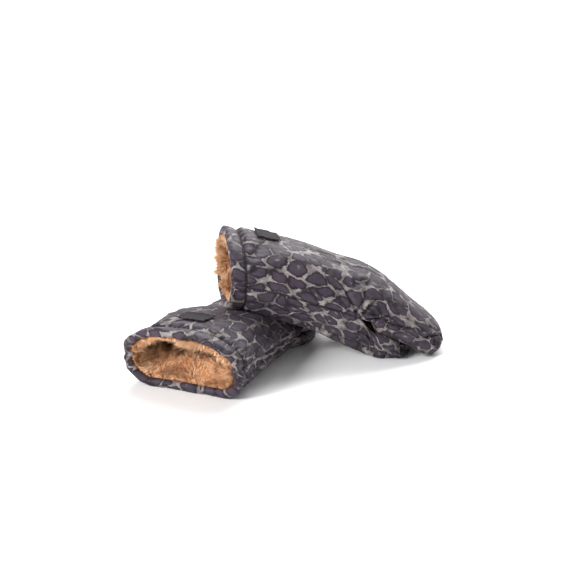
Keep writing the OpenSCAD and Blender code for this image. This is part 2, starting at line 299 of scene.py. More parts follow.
UPPER_UNDER = [
    ((100, 312), (238, 322), 3.2, 3.0), ((86, 300), (240, 309), 3.4, 2.6),
    ((160, 336), (205, 348), 3.0, 1.9), ((176, 350), (196, 333), 2.4, 1.6),
    ((60, 330), (110, 338), 3.4, 1.2), ((204, 335), (228, 350), 2.2, 1.8)]
LOWER_CREASES = [
    ((18, 14), (60, 30), 4.0, 1.5), ((20, 150), (52, 140), 3.4, 1.4), ((30, 162), (76, 150), 4, 1.3),
    ((88, 20), (120, 34), 5, 1.2), ((16, 128), (44, 124), 3.6, 1.2), ((90, 130), (140, 150), 5, 1.4),
    ((120, 8), (160, 22), 4, 1.3)]
LOWER_UNDER = [
    ((18, 348), (70, 338), 4, 1.6), ((40, 346), (110, 350), 3.4, 1.4), ((90, 342), (150, 350), 4, 1.5),
    ((16, 336), (40, 322), 4, 1.6), ((20, 200), (60, 212), 4, 1.5)]
ARC = 1.15      # millimetres of cloth in a degree around the muff, near enough for creases and print


def crease_field(s, a, creases):
    """Height of all the creases on a grid: valleys below 0, with soft shoulders above."""
    out = np.zeros((len(s), len(a)))
    ss, aa = np.meshgrid(s, a * ARC, indexing="ij")
    for (s0, a0), (s1, a1), width, depth in creases:
        d = np.array([s1 - s0, (a1 - a0) * ARC])
        length = np.linalg.norm(d)
        d /= length
        along = (ss - s0) * d[0] + (aa - a0 * ARC) * d[1]
        off = (ss - s0) * -d[1] + (aa - a0 * ARC) * d[0]
        off = off + 0.12 * width * np.sin(along * 0.31 + s0) + 0.04 * along * (along - length) / length
        fade = smooth(along, -0.25 * length, 0.3 * length) * smooth(-along, -1.25 * length, -0.7 * length)
        k = np.abs(off) / (0.85 * width)
        out += depth * fade * (0.45 * np.exp(-(k - 2.0) ** 2) - np.exp(-k ** 2 * 1.3))
    return out


def make_fields(m, rng):
    """Displacement of each panel away from the plain shape, the same for all its layers."""
    fields = {}
    for part, a0 in PANEL_START.items():
        s, a = GRID_S, a0 + GRID_A
        lo, hi = a0 + 0.02, a0 + 179.98
        base = section(m, *np.meshgrid(s, np.clip(a, lo, hi), indexing="ij"))
        n = normals(base)
        edge = np.minimum(a - a0, a0 + 180 - a) * ARC           # distance from the side seam
        seam = 0.55 * np.exp(-(edge / 6.0) ** 2) + 0.75 * np.exp(-(edge / 1.9) ** 2)
        seam = seam[None, :] * smooth(-s, -SLOT - 10, -SLOT + 12)[:, None]
        groove = np.exp(-((s - HEM - 0.6) / 2.2) ** 2)[:, None]
        push = -1.3 * seam - (1.7 if m is UPPER else 1.0) * groove
        # puff of the wadding between seam and middle, and beside the hem
        puff = np.exp(-((edge - 16) / 12) ** 2)[None, :] * smooth(-s, -SLOT - 20, -SLOT + 20)[:, None]
        push = push + 1.1 * puff + 1.0 * np.exp(-((s - HEM - 11) / 7.0) ** 2)[:, None]
        if part == "top":
            creases = UPPER_CREASES if m is UPPER else LOWER_CREASES
        else:
            creases = UPPER_UNDER if m is UPPER else LOWER_UNDER
        # gathers that run in from the hem
        gathers = []
        for k in range(30):
            ang = a0 + 4 + 172 * (k + rng.uniform(-0.4, 0.4)) / 29
            long = rng.uniform(9, 30)
            gathers.append(((14.5, ang), (16 + long, ang + rng.uniform(-5, 5)),
                            rng.uniform(1.8, 3.0), rng.uniform(0.2, 0.6) * (1 if m is UPPER else 1.7)))
        # puckers across the side seams
        for side in (a0 + 1, a0 + 179):
            for k in range(15):
                at = 24 + 10.4 * k + rng.uniform(-3, 3)
                reach = rng.uniform(7, 15) * (1 if side < a0 + 90 else -1)
                gathers.append(((at, side), (at + rng.uniform(-5, 5), side + reach),
                                rng.uniform(1.6, 2.6), rng.uniform(0.15, 0.5)))
        folds = (1.6 if m is UPPER else 1.4) * crease_field(s, a, creases)
        push = push + folds + crease_field(s, a, gathers)
        if part == "top":
            sm, am = np.meshgrid(s, a, indexing="ij")
            if m is UPPER:
                push -= 3.2 * np.exp(-((sm - 272) / 20) ** 2) + 2.2 * np.exp(-((sm - 142) / 32) ** 2)
            else:
                push -= 3.6 * np.exp(-((sm - 42) / 30) ** 2) * np.exp(-((am - 132) / 34) ** 2)
        line = np.exp(-(edge / 1.0) ** 2)[None, :] * smooth(-s, -SLOT - 8, -SLOT + 6)[:, None]
        # painted shade: how dark the print is drawn in the seam lines and deep creases, where shade falls
        dark = np.clip(0.85 * line + 0.16 * np.maximum(-folds - 0.9, 0), 0, 0.85)
        fields[part + "_fold"] = Field(dark, a0)
        push = push + 0.55 * lattice(rng, s, a, 34, 30) + 0.30 * lattice(rng, s, a, 15, 13)
        push = push + 0.10 * lattice(rng, s, a, 6, 6)
        move = n * push[..., None]
        ks = np.linspace(HEM + 0.5, PANEL_END[part], 72 if part == "top" else 60)
        ka = a0 + np.linspace(0.02, 179.98, 54)
        p = section(m, *np.meshgrid(ks, ka, indexing="ij"))
        pin = np.zeros(p.shape[:2])
        pin[:, [0, -1]] = 1
        pin[[0, -1], :] = 1
        pin[:, [1, -2]] = 0.35
        pin[[1, -2], :] = np.maximum(pin[[1, -2], :], 0.35)
        got = relax(f"{m['name']}_{part}_sim", p, pin, 0.018, 0.8)
        size = np.linalg.norm(got, axis=-1, keepdims=True)
        got *= np.minimum(1, 2.6 / np.maximum(size, 1e-6))       # cap on how far a point moves
        ws = cubic_weights(len(ks), (s - ks[0]) / (ks[1] - ks[0]))
        wa = cubic_weights(len(ka), (a - ka[0]) / (ka[1] - ka[0]))
        past_hem = smooth(s, HEM - 3, HEM + 6)[:, None, None]
        move = move + np.einsum("is,stk,jt->ijk", ws, got, wa) * past_hem
        fields[part] = Field(move, a0)
    return fields


def place(m, fields, part, s, a, d=0.0, e=0.0, sewn=False):
    """A point of a panel's layer in its finished, puffed and creased place."""
    lo = 0.02 if part == "top" else 180.02
    a = np.clip(a, lo, lo + 179.96)
    s = np.asarray(s, float)
    p = section(m, s, a, d, e)
    p = p + fields[part](s + 0 * a, a + 0 * s)
    gap = 0.12 if sewn else 0.45 + 0.06 * np.asarray(d, float)
    p[..., 2] += np.where(s < SLOT + 6, 1, 0) * (gap if part == "top" else -gap)
    floor = 0.25 + np.asarray(d, float) * (0.6 if part == "top" else 1.0)
    p[..., 2] = np.maximum(p[..., 2], floor)
    return p


def cloth_coords(m, part, s, a):
    """Where a point lies on the flat cloth, in millimetres."""
    base = 0 if part == "top" else 500
    if m is LOWER:
        base += 1300
    return np.stack([a * ARC + base, s, 0 * s + base * 0.37], -1)


# ------------------------------------------------------------------ materials
class Nodes:
    """Small helper that builds a procedural material."""

    def __init__(self, name):
        self.mat = bpy.data.materials.new(name)
        self.mat.use_nodes = True
        self.nodes, self.links = self.mat.node_tree.nodes, self.mat.node_tree.links
        self.nodes.clear()
        self.bsdf = self.add("ShaderNodeBsdfPrincipled")
        self.links.new(self.bsdf.outputs[0], self.add("ShaderNodeOutputMaterial").inputs[0])

    def add(self, kind, **props):
        node = self.nodes.new(kind)
        for k, v in props.items():
            setattr(node, k, v)
        return node

    def put(self, node, key, value):
        if isinstance(value, bpy.types.NodeSocket):
            self.links.new(value, node.inputs[key])
        else:
            node.inputs[key].default_value = value

    def math(self, op, a, b=0.0, c=0.0, clamp=False):
        node = self.add("ShaderNodeMath", operation=op, use_clamp=clamp)
        for k, v in enumerate((a, b, c)):
            self.put(node, k, v)
        return node.outputs[0]

    def mul(self, a, b):
        return self.math("MULTIPLY", a, b)

    def vmath(self, op, a, b=(0, 0, 0), scale=1.0):
        node = self.add("ShaderNodeVectorMath", operation=op)
        self.put(node, 0, a)
        if op == "SCALE":
            self.put(node, "Scale", scale)
        else:
            self.put(node, 1, b)
        return node.outputs[0]

    def noise(self, vec, scale, detail=3.0, rough=0.55, colour=False):
        node = self.add("ShaderNodeTexNoise")
        self.put(node, "Vector", vec)
        self.put(node, "Scale", scale)
        self.put(node, "Detail", detail)
        self.put(node, "Roughness", rough)
        return node.outputs["Color" if colour else "Fac"]

    def drift(self, vec, scale, rough, size):
        """Random offset, up to half of size each way."""
        spread = self.noise(vec, scale, 2, rough, True)
        return self.vmath("SCALE", self.vmath("SUBTRACT", spread, (0.5, 0.5, 0.5)), scale=size)

    def ramp(self, fac, lo, hi, a=0.0, b=1.0):
        node = self.add("ShaderNodeMapRange", interpolation_type="SMOOTHSTEP")
        for k, v in zip(("Value", "From Min", "From Max", "To Min", "To Max"), (fac, lo, hi, a, b)):
            self.put(node, k, v)
        return node.outputs[0]

    def mix(self, fac, a, b, blend="MIX"):
        node = self.add("ShaderNodeMix", data_type="RGBA", blend_type=blend)
        self.put(node, 0, fac)
        self.put(node, 6, (*a, 1) if isinstance(a, tuple) and len(a) == 3 else a)
        self.put(node, 7, (*b, 1) if isinstance(b, tuple) and len(b) == 3 else b)
        return node.outputs[2]

    def bump(self, height, strength, distance, normal=None):
        node = self.add("ShaderNodeBump")
        self.put(node, "Height", height)
        self.put(node, "Strength", strength)
        self.put(node, "Distance", distance)
        if normal is not None:
            self.put(node, "Normal", normal)
        return node.outputs[0]

    def attr(self, name, out="Vector"):
        return self.add("ShaderNodeAttribute", attribute_name=name).outputs[out]

    def weave(self, vec, pitch):
        """Height of a plain weave with threads pitch millimetres apart."""
        split = self.add("ShaderNodeSeparateXYZ")
        self.put(split, 0, vec)
        k = math.pi / pitch
        wx = self.math("SINE", self.mul(split.outputs[0], k))
        wy = self.math("SINE", self.mul(split.outputs[1], k))
        return self.math("ADD", self.mul(self.mul(wx, wy), 0.5), 0.5)

    def set(self, **values):
        for k, v in values.items():
            self.put(self.bsdf, k.replace("_", " "), v)


def print_material():
    """Satin-faced woven polyester with a dark animal print."""
    k = Nodes("printed_cloth")
    cloth = k.attr("cloth")
    warp = k.drift(cloth, 0.040, 0.5, 20.0)
    fine = k.drift(cloth, 0.30, 0.6, 3.4)
    spot = k.vmath("MULTIPLY", k.vmath("ADD", k.vmath("ADD", cloth, warp), fine), (1.0, 0.72, 1.0))
    edges = k.add("ShaderNodeTexVoronoi", voronoi_dimensions="2D", feature="DISTANCE_TO_EDGE")
    cells = k.add("ShaderNodeTexVoronoi", voronoi_dimensions="2D", feature="F1")
    for v in (edges, cells):
        k.put(v, "Vector", spot)
        k.put(v, "Scale", 0.057)
        k.put(v, "Randomness", 0.90)
    # spots with rounded corners, thin lines between them and a few wide pale places
    rounding = k.math("MAXIMUM", k.math("SUBTRACT", cells.outputs["Distance"], 0.36), 0.0)
    inside = k.math("SUBTRACT", edges.outputs["Distance"], k.mul(rounding, 0.62))
    ragged = k.noise(k.vmath("MULTIPLY", cloth, (1.0, 0.26, 1.0)), 1.0, 3, 0.65)
    hair = k.mul(k.math("SUBTRACT", ragged, 0.5), 0.26)
    widen = k.ramp(k.noise(cloth, 0.024, 2, 0.55), 0.46, 0.78, -0.040, 0.13)
    band = k.ramp(k.math("SUBTRACT", k.math("ADD", inside, hair), widen), -0.045, 0.040, 1.0, 0.0)
    # some neighbouring spots run together
    band = k.mul(band, k.ramp(k.noise(cloth, 0.075, 1, 0.5), 0.34, 0.46, 0.12, 1.0))
    # light flecks in the middle of some spots
    fleck = k.ramp(k.math("ADD", cells.outputs["Distance"], hair), 0.03, 0.15, 1.0, 0.0)
    pick = k.add("ShaderNodeSeparateColor")
    k.put(pick, 0, cells.outputs["Color"])
    fleck = k.mul(fleck, k.ramp(pick.outputs[0], 0.62, 0.70))
    light = k.math("MAXIMUM", band, k.mul(fleck, 0.6), clamp=True)
    # faded streaks inside the light lines
    streak = k.noise(k.vmath("MULTIPLY", cloth, (1.0, 0.35, 1.0)), 0.7, 3, 0.6)
    streak = k.ramp(streak, 0.30, 0.62, 0.50, 1.0)
    light = k.mul(light, streak)
    dark = k.mix(k.noise(cloth, 0.09, 3), (0.033, 0.024, 0.036), (0.069, 0.052, 0.074))
    dark = k.mix(k.ramp(inside, 0.03, 0.26), (0.017, 0.012, 0.017), dark)
    pale = k.mix(k.ramp(k.noise(cloth, 0.07, 3), 0.35, 0.70), (0.150, 0.125, 0.122), (0.36, 0.325, 0.32))
    colour = k.mix(light, dark, pale)
    thread = k.weave(cloth, 0.42)
    colour = k.mix(k.mul(thread, 0.10), colour, (0.24, 0.21, 0.23), "SOFT_LIGHT")
    wear = k.ramp(k.noise(cloth, 0.02, 4, 0.6), 0.45, 0.75, 0.0, 0.06)
    colour = k.mix(wear, colour, (0.16, 0.14, 0.15))
    # painted shade: the print goes near black in seam lines, deep creases and the hem groove
    colour = k.mix(k.attr("fold", "Fac"), colour, (0.006, 0.005, 0.007))
    crinkle = k.noise(k.vmath("MULTIPLY", cloth, (1.0, 0.6, 1.0)), 0.16, 4, 0.6)
    k.set(Base_Color=colour, Roughness=k.ramp(k.noise(cloth, 0.25, 2), 0.3, 0.7, 0.52, 0.66),
          Sheen_Weight=0.04, Sheen_Roughness=0.45, Sheen_Tint=(0.86, 0.82, 0.88, 1),
          Specular_IOR_Level=0.20,
          Normal=k.bump(thread, 0.22, 0.00012, k.bump(crinkle, 0.35, 0.0016)))
    return k.mat


def plush_material(name, root, mid, tip, base=False):
    """Long-haired caramel plush: dark at the roots, pale at the tips, streaked in clumps."""
    k = Nodes(name)
    co = k.add("ShaderNodeTexCoord").outputs["Object"]
    clump = k.noise(co, 130, 3, 0.6)
    broad = k.noise(co, 34, 2, 0.5)
    if base:
        colour = k.mix(k.ramp(clump, 0.3, 0.7), root, mid)
    else:
        along = k.attr("along", "Fac")
        tone = k.attr("tone", "Fac")
        colour = k.mix(k.ramp(along, 0.0, 0.55), root, mid)
        pale = k.mul(k.ramp(along, 0.35, 1.0), k.ramp(tone, 0.1, 0.9, 0.35, 1.0))
        colour = k.mix(pale, colour, tip)
        colour = k.mix(k.mul(k.ramp(clump, 0.35, 0.75), 0.30), colour, root)
    colour = k.mix(k.mul(k.ramp(broad, 0.4, 0.75), 0.25), colour, mid)
    # recoloured near black inside the slots, because the slot is black in the photo
    # the near black is painted shade, standing in for the shade deep in the slots
    colour = k.mix(k.attr("deep", "Fac"), colour, (0.016, 0.012, 0.011))
    k.set(Base_Color=colour, Roughness=0.62, Sheen_Weight=0.35, Sheen_Roughness=0.35,
          Sheen_Tint=(1.0, 0.82, 0.62, 1), Specular_IOR_Level=0.25)
    if base:
        k.set(Normal=k.bump(k.noise(co, 420, 4, 0.7), 0.7, 0.0015))
    return k.mat


def wadding_material():
    """White fibre wadding."""
    k = Nodes("wadding")
    co = k.add("ShaderNodeTexCoord").outputs["Object"]
    web = k.noise(co, 260, 6, 0.75)
    k.set(Base_Color=k.mix(web, (0.70, 0.69, 0.66), (0.93, 0.92, 0.90)), Roughness=0.9,
          Sheen_Weight=0.2, Normal=k.bump(web, 0.6, 0.001))
    return k.mat


def label_material():
    """Dark woven twill."""
    k = Nodes("label_cloth")
    cloth = k.attr("cloth")
    wave = k.add("ShaderNodeTexWave", wave_type="BANDS", bands_direction="DIAGONAL")
    k.put(wave, "Vector", cloth)
    k.put(wave, "Scale", 0.28)
    k.put(wave, "Distortion", 0.6)
    k.put(wave, "Detail", 2.0)
    mottle = k.noise(cloth, 0.5, 4, 0.6)
    colour = k.mix(wave.outputs["Fac"], (0.013, 0.010, 0.013), (0.036, 0.030, 0.036))
    colour = k.mix(k.ramp(mottle, 0.35, 0.75, 0.0, 0.35), colour, (0.048, 0.045, 0.049))
    k.set(Base_Color=colour, Roughness=k.ramp(mottle, 0.3, 0.7, 0.80, 0.92), Sheen_Weight=0.03,
          Specular_IOR_Level=0.14, Normal=k.bump(wave.outputs["Fac"], 0.5, 0.0002))
    return k.mat


def thread_material():
    """Dark twisted sewing thread."""
    k = Nodes("thread")
    co = k.add("ShaderNodeTexCoord").outputs["Object"]
    wave = k.add("ShaderNodeTexWave", wave_type="BANDS", bands_direction="DIAGONAL")
    k.put(wave, "Vector", co)
    k.put(wave, "Scale", 900.0)
    twist = wave.outputs["Fac"]
    k.set(Base_Color=k.mix(twist, (0.010, 0.009, 0.011), (0.045, 0.040, 0.046)),
          Roughness=k.ramp(k.noise(co, 300), 0.3, 0.7, 0.42, 0.60), Sheen_Weight=0.2,
          Normal=k.bump(twist, 0.5, 0.0002))
    return k.mat


def metal_material():
    """Dark, slightly tarnished metal of the press studs."""
    k = Nodes("stud_metal")
    co = k.add("ShaderNodeTexCoord").outputs["Object"]
    scratch = k.noise(k.vmath("MULTIPLY", co, (1.0, 8.0, 1.0)), 500, 4, 0.6)
    tarnish = k.noise(co, 160, 3, 0.6)
    k.set(Base_Color=k.mix(k.ramp(tarnish, 0.4, 0.8), (0.060, 0.058, 0.060), (0.110, 0.105, 0.100)),
          Roughness=k.ramp(scratch, 0.3, 0.7, 0.22, 0.42), Metallic=1.0,
          Normal=k.bump(scratch, 0.15, 0.0001))
    return k.mat


PRINT = print_material()
PLUSH_BASE = plush_material("plush_base", (0.40, 0.165, 0.066), (0.66, 0.34, 0.165), (0.7, 0.4, 0.2), True)
PLUSH = plush_material("plush", (0.50, 0.225, 0.095), (0.80, 0.47, 0.26), (0.93, 0.68, 0.45))
WADDING = wadding_material()
LABEL = label_material()
THREAD = thread_material()
METAL = metal_material()


def finish_piece(ob, mat, m, nodes=(), bend=False):
    """Material, body and replaced CAD nodes of a piece. A bent one has its transform baked into the mesh
    instead.
    """
    ob.data.materials.clear()
    ob.data.materials.append(mat)
    if bend:
        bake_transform(ob)
    else:
        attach(ob, m["name"] + "_muff")
    if nodes:
        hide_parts(*[m["name"] + "_" + n for n in nodes])


def apply_modifiers(ob):
    """Puts the result of the modifiers into the mesh."""
    deps = bpy.context.evaluated_depsgraph_get()
    me = bpy.data.meshes.new_from_object(ob.evaluated_get(deps), depsgraph=deps)
    ob.modifiers.clear()
    old, ob.data = ob.data, me
    bpy.data.meshes.remove(old)


# ------------------------------------------------------------------ pieces
def cover(m, fields, part):
    """Outer cloth of a panel with its edges turned in: one sheet, then given its thickness."""
    end, a0, radius = PANEL_END[part], PANEL_START[part], ROUNDING[part]
    ns, na = 168 if part == "top" else 142, 132
    turn = 6            # rows of a strip down the edge, before it turns under
    start = HEM + 1.1
    # close rows where the hem groove and the end are, so that the cloth rolls over smoothly
    s = np.concatenate([start + np.array([0, 0.5, 1.1, 1.8]),
                        np.linspace(start + 2.8, end - 2.6, ns),
                        end - np.array([1.7, 1.0, 0.5, 0.0])])
    a = a0 + np.concatenate([[0, 0.25, 0.6, 1.1], np.linspace(1.9, 178.1, na),
                             [178.9, 179.4, 179.75, 180]])

    def reach(x):       # how deep the turned edge goes
        return 2.2 + (DEPTH - 2.4) * smooth(x, SLOT - 10, SLOT + 3)

    rows, cols = len(s), len(a)
    ss, aa = np.meshgrid(s, a, indexing="ij")
    e_d = np.zeros((rows, cols))
    near = np.minimum(aa - a0, a0 + 180 - aa) * ARC
    e_d += 0.9 * np.exp(-near / 0.8)
    e_d += 1.1 * np.exp(-(ss - start) / 0.9) + 1.0 * np.exp(-(end - ss) / 0.9)
    main = place(m, fields, part, ss, aa, e_d, corner(ss, end, radius), True)
    verts = [main.reshape(-1, 3)]
    flat = [cloth_coords(m, part, ss, aa).reshape(-1, 3)]
    # painted shade: seam lines, deep creases and the groove behind the hem are drawn darker through the
    # "fold" attribute
    shade = fields[part + "_fold"](ss, aa)
    hem_groove_shade = 0.8 * np.exp(-((ss - start) / 0.9) ** 2) * (1.0 if m is UPPER else 0.5)
    shade = np.maximum(shade, hem_groove_shade)
    faces = grid_faces(rows, cols)
    count = rows * cols
    # the strips go down the edge of the layers, then turn under
    k = np.concatenate([np.arange(1, turn + 1) / turn, np.ones(4)])
    under = np.array([0] * turn + [1.6, 4, 7, 10], float)
    side = directions(m)[1]
    out = main[-1] - main[-3]
    out /= np.linalg.norm(out, axis=-1, keepdims=True)
    out[:] = np.mean(out, axis=0)
    bow = np.sin(np.pi * np.minimum(k, 1))[:, None] * (under == 0)[:, None]

    def strip(p, f, first, flip):
        """Adds a strip whose first line of points is an edge of the main sheet."""
        nonlocal count
        n = p.shape[0]
        verts.append(p.reshape(-1, 3))
        flat.append(f.reshape(-1, 3))
        index = count + np.arange(n * p.shape[1]).reshape(n, -1)
        index = np.concatenate([np.array(first)[None, :], index])
        for i in range(n):
            for j in range(p.shape[1] - 1):
                q = [index[i, j], index[i + 1, j], index[i + 1, j + 1], index[i, j + 1]]
                faces.append(q[::-1] if flip else q)
        count += n * p.shape[1]

    open_s = smooth(s, SLOT + 4, SLOT + 20)
    # padded edges hang together, so that the slot closes to a dark line
    spread = np.linalg.norm(herm(m["top_edge"], s) - herm(m["bottom_edge"], s), axis=-1)
    hang = (np.clip(0.47 * (spread - 20.5), 0, 4.5) * smooth(s, SLOT + 10, SLOT + 30)
            * smooth(-s, -262, -246))
    past_seam = smooth(s, SLOT - 8, SLOT + 5)
    for j, sign in ((0, 1), (cols - 1, -1)):
        deep = (e_d[:, j][None, :] + k[:, None] * (reach(s) - 1.0 + hang)[None, :]
                + 0.4 * (under > 0)[:, None] * past_seam)
        ang = a0 + (0.0 if j == 0 else 180.0)
        if part == "bottom":
            sign = -sign
        turned = under[:, None] * past_seam[None, :]
        back_s = s[None, :] - turned * np.clip(1 - (end - s) / 20, 0, 1)[None, :]
        p = place(m, fields, part, back_s, ang + 0 * deep, deep,
                  corner(s, end, radius)[None, :] + turned, True)
        p = p + side * (sign * 2.0 * bow * open_s[None, :])[..., None]
        p = p + out[0] * (1.5 * bow * np.exp(-(end - s) / 0.7)[None, :])[..., None]
        f = cloth_coords(m, part, s[None, :] + 0 * deep, ang + 0 * deep)
        f[..., 0] -= (deep + turned) * (1 if j == 0 else -1)
        strip(p, f, np.arange(rows) * cols + j, j != 0)
    for i, sign in ((0, -1), (rows - 1, 1)):
        last = i > 0
        kk, uu = (k, under) if last else (k[:turn], under[:turn])
        far = (reach(s[i]) - 1.0) * kk[:, None] + 0.4 * (uu > 0)[:, None]
        deep = e_d[i][None, :] + far
        from_side = np.minimum(a - a0, a0 + 180 - a) * ARC
        inward = uu[:, None] * np.clip(1 - from_side / 20, 0, 1)[None, :]
        p = place(m, fields, part, s[i] - uu[:, None] + 0 * deep, a[None, :] + 0 * deep, deep,
                  corner(s[i], end, radius) + inward)
        if last:
            p = p + out[None] * (1.5 * bow)[..., None]
            half = np.where(a < a0 + 90, 1, -1) * (1 if part == "top" else -1)
            p = p + side * (2.0 * bow * (half * np.exp(-from_side / 0.7))[None, :])[..., None]
        f = cloth_coords(m, part, s[i] + 0 * deep, a[None, :] + 0 * deep)
        f[..., 1] += (deep + uu[:, None]) * sign
        strip(p, f, i * cols + np.arange(cols), not last)
    v = np.concatenate(verts)
    v[:, 2] = np.maximum(v[:, 2], 0.25)
    # painted shade for each point of the print, none on the turned strips
    fold = np.concatenate([shade.ravel(), np.zeros(len(v) - shade.size)])
    ob = new_mesh(f"{m['name']}_{part}_cover", v, faces,
                  [("cloth", np.concatenate(flat)), ("fold", fold)])
    weld = ob.modifiers.new("weld", "WELD")
    weld.merge_threshold = 0.00005
    solid = ob.modifiers.new("thick", "SOLIDIFY")
    solid.thickness, solid.offset = 0.0009, -1.0
    apply_modifiers(ob)
    nodes = {"top": ("top_shell", "flap_shell", "flap_facing"),
             "bottom": ("bottom_shell", "bottom_facing")}[part]
    finish_piece(ob, PRINT, m, nodes, bend=part == "top")


def slab(m, fields, part, name, s0, s1, da, db, ns, na, mat, nodes, lumps=None, inset=1.6):
    """A closed layer between two depths."""
    a0 = PANEL_START[part]
    s = np.linspace(s0, s1 - (3.0 if part == "bottom" else 0.0), ns)
    ss, aa = np.meshgrid(s, np.linspace(a0, a0 + 180, na), indexing="ij")
    e = inset * smooth(ss, SLOT - 12, SLOT + 2) + corner(ss, s1 + 3.5, ROUNDING[part])
    if part == "bottom":        # held back from the turned edge of the tongue
        e = e + 7.0 * smooth(ss, s1 - 26, s1 - 2)
    outer = place(m, fields, part, ss, aa, da + 0 * ss, e)
    deep = db + (0 * ss if lumps is None else lumps(ss, aa))
    inner = place(m, fields, part, ss, aa, deep, e)
    # the "deep" attribute marks where the plush is painted near black as shade inside the slots
    ob = new_mesh(name, np.concatenate([outer.reshape(-1, 3), inner.reshape(-1, 3)]),
                  closed_faces(ns, na), [("deep", np.tile(smooth(ss, SLOT_SHADE_FROM, SLOT_SHADE_TO).ravel(), 2))])
    finish_piece(ob, mat, m, nodes, bend=part == "top")


def hem(m, fields, rng):
    """The rolled, gathered hem: a closed ring."""
    n = 420
    a = np.arange(n) * 360 / n
    # outline of the folded cloth (s, depth): flat band, thick rolled lip, inner face, back
    knots = np.array([(15.2, 0.5), (11.5, -0.3), (7.0, -0.9), (2.6, -0.7), (-0.3, 0.8), (-1.4, 3.4),
                      (-1.3, 6.0), (0.4, 8.3), (3.2, 9.2), (6.2, 8.7), (7.6, 7.0), (8.4, 5.2),
                      (11.5, 4.3), (14.8, 4.1), (15.6, 2.3)])
    around = cubic_weights(len(knots) + 3, 1 + np.arange(44) * len(knots) / 44)
    ks, kd = (around @ np.concatenate([knots[-1:], knots, knots[:2]])).T
    turn = np.arange(0, 361.0)
    wrap = smooth(turn, 0, 16) * smooth(-turn, -360, -344)

    def wave(cell):
        """Random wave around the ring, 0 where its ends meet."""
        return np.interp(a, turn, lattice(rng, np.array([0.0, 1.0]), turn, 1, cell)[0] * wrap)
    fold, small = wave(8.5), wave(3.6)
    gather = fold + small * 0.55
    lip = wave(14)
    from_seam = np.minimum(np.abs((a + 180) % 360 - 180), np.abs(a - 180)) * ARC
    pinch = np.exp(-(from_seam / 3.5) ** 2)
    ahead = directions(m)[0]
    rows = []
    flat = []
    for s, d in zip(ks, kd):
        front = smooth(-s, -8, 0)
        dd = d + gather * (0.30 + 0.75 * front) * (1 if d < 5 else -0.8) + 0.7 * pinch * (d < 2.2)
        sp = s + lip * 0.45 * front + 0.5 * pinch * front
        p = np.where((a < 180)[:, None], place(m, fields, "top", np.maximum(sp, 0), a, dd),
                     place(m, fields, "bottom", np.maximum(sp, 0), a, dd))
        p = p + ahead * np.minimum(sp, 0)[:, None]
        p[:, 2] = np.maximum(p[:, 2], 0.2 + max(0, 1.5 - s) * 0.25)
        rows.append(p)
        flat.append(np.stack([a * ARC + 240 + (900 if m is LOWER else 0),
                              s - d * 1.4 + 0 * a, 0 * a], -1))
    rows, flat = np.array(rows), np.array(flat)
    faces = []
    r = len(rows)
    for i in range(r):
        for j in range(n):
            i2, j2 = (i + 1) % r, (j + 1) % n
            faces.append([i * n + j, i * n + j2, i2 * n + j2, i2 * n + j])
    ob = new_mesh(m["name"] + "_hem", rows.reshape(-1, 3), faces, [("cloth", flat.reshape(-1, 3))])
    finish_piece(ob, PRINT, m, ("cuff_hem",))


def thread_stitch(p0, p1, up, radius=0.28, rise=0.45):
    """One stitch: a short bowed thread between two needle holes, as rings of points."""
    k = np.linspace(0, 1, 6)
    height = rise * (np.sin(np.pi * k) ** 0.6)[:, None] - 0.35 * (np.abs(k - 0.5) > 0.45)[:, None]
    line = p0 + (p1 - p0) * k[:, None] + up * height
    t = (p1 - p0) / np.linalg.norm(p1 - p0)
    b = np.cross(t, up)
    ang = np.arange(6) * math.pi / 3
    ring = b * np.cos(ang)[:, None] + up * np.sin(ang)[:, None]
    width = radius * np.array([0.6, 1, 1.08, 1.08, 1, 0.6])
    return (line[:, None, :] + ring[None] * width[:, None, None]).reshape(-1, 3)


def stitch_object(name, stitches, m, nodes):
    """One piece made of many separate stitches."""
    verts, faces, n = [], [], 0
    for p0, p1, up in stitches:
        verts.append(thread_stitch(p0, p1, up))
        faces += [[i + n for i in f] for f in grid_faces(6, 6, 0, True, wrap=True)]
        faces.append([n + i for i in range(6)])
        faces.append([n + 35 - i for i in range(6)])
        n += 36
    ob = new_mesh(name, np.concatenate(verts), faces)
    finish_piece(ob, THREAD, m, nodes)


def surface_up(m, fields, part, s, a):
    """A point on the cloth and the normal there."""
    p = place(m, fields, part, np.array([s, s + 1.0, s]), np.array([a, a, a + 1.0]))
    n = np.cross(p[1] - p[0], p[2] - p[0])
    return p[0], n / np.linalg.norm(n)


def stitching(m, fields):
    """Stitches round the groove behind the hem, and along both side seams."""
    out = []
    n = 78
    for i in range(n):
        ends = []
        for f in (0.18, 0.80):
            ang = 360 * (i + f) / n
            part = "top" if ang < 180 else "bottom"
            p, up = surface_up(m, fields, part, HEM + 0.55, ang)
            ends.append((p + up * 0.05, up))
        out.append((ends[0][0], ends[1][0], ends[0][1]))
    stitch_object(m["name"] + "_hem_thread", out, m, ("hem_stitching",))
    out = []
    for ang, sign in ((0.0, 1), (180.0, -1)):
        side = directions(m)[1] * sign
        for i in range(44):
            s = 19 + 3.45 * i
            p = surface_up(m, fields, "top", s, ang)[0]
            q = surface_up(m, fields, "top", s + 2.5, ang)[0]
            p[2] -= 0.45
            q[2] -= 0.45
            out.append((p - side * 0.5, q - side * 0.5, side))
    stitch_object(m["name"] + "_seam_thread", out, m, ("seam_thread",))


